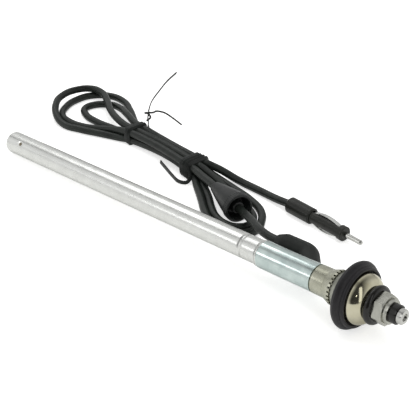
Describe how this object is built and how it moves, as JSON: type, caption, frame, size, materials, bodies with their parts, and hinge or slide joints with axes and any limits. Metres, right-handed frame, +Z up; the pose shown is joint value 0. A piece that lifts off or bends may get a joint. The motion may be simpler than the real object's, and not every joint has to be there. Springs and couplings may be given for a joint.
{
  "type": "retractable car antenna",
  "caption": "Retracted telescopic mast in a tube, with a threaded collar, rubber pad, dome, nut and tip, and a coiled side lead with a grommet and a coaxial plug.",
  "frame": {"origin": "on the floor, under the middle of the antenna without its loose lead", "axes": "+X along the antenna towards the mast tip, +Y towards the side where the boot and the lead leave, +Z up. The antenna's axis rises 2.3 degrees towards +X because it lies on its pad and on the closed end of its tube."},
  "size_m": [0.368, 0.1378, 0.0393],
  "materials": {
    "mast_tube": "satin",
    "end_buffer": "satin",
    "insulating_liner": "satin",
    "contact_ferrule": "bright",
    "ground_sleeve": "zinc plated",
    "flared_collar": "satin nickel",
    "claw_washer": "satin",
    "rubber_pad": "matt",
    "dome_bezel": "polished",
    "seal_ring": "gloss",
    "cap_nut": "nickel plated",
    "front_bush": "gloss",
    "mast_section_1": "polished",
    "mast_section_2": "polished",
    "mast_section_3": "polished",
    "mast_rod": "polished",
    "mast_foot_1": "bright",
    "mast_foot_2": "bright",
    "mast_foot_3": "bright",
    "mast_foot_4": "bright",
    "mast_tip": "polished",
    "cable_boot": "matt",
    "feed_wire": "copper",
    "antenna_cable": "satin vinyl",
    "firewall_grommet": "matt",
    "twist_tie_1": "satin vinyl",
    "twist_tie_2": "satin vinyl",
    "plug_handle": "satin",
    "plug_core": "gloss",
    "plug_springs": "bright",
    "plug_pin": "polished"
  },
  "bodies": {
    "antenna_body": {"mast_tube": "mast_tube", "end_buffer": "end_buffer", "insulating_liner": "insulating_liner", "contact_ferrule": "contact_ferrule", "ground_sleeve": "ground_sleeve", "flared_collar": "flared_collar", "claw_washer": "claw_washer", "rubber_pad": "rubber_pad", "dome_bezel": "dome_bezel", "seal_ring": "seal_ring", "cap_nut": "cap_nut", "front_bush": "front_bush", "cable_boot": "cable_boot", "feed_wire": "feed_wire", "antenna_cable": "antenna_cable", "firewall_grommet": "firewall_grommet", "twist_tie_1": "twist_tie_1", "twist_tie_2": "twist_tie_2", "plug_handle": "plug_handle", "plug_core": "plug_core", "plug_springs": "plug_springs", "plug_pin": "plug_pin"},
    "section_1": {"mast_section_1": "mast_section_1", "mast_foot_1": "mast_foot_1"},
    "section_2": {"mast_section_2": "mast_section_2", "mast_foot_2": "mast_foot_2"},
    "section_3": {"mast_section_3": "mast_section_3", "mast_foot_3": "mast_foot_3"},
    "section_4": {"mast_rod": "mast_rod", "mast_foot_4": "mast_foot_4", "mast_tip": "mast_tip"}
  },
  "joints": [
    {"name": "section_1_slide", "type": "slide", "parent": "antenna_body", "child": "section_1", "axis": [0.9992, 0, 0.0401], "range_m": [0, 0.233]},
    {"name": "section_2_slide", "type": "slide", "parent": "section_1", "child": "section_2", "axis": [0.9992, 0, 0.0401], "range_m": [0, 0.3]},
    {"name": "section_3_slide", "type": "slide", "parent": "section_2", "child": "section_3", "axis": [0.9992, 0, 0.0401], "range_m": [0, 0.3]},
    {"name": "section_4_slide", "type": "slide", "parent": "section_3", "child": "section_4", "axis": [0.9992, 0, 0.0401], "range_m": [0, 0.3]}
  ]
}
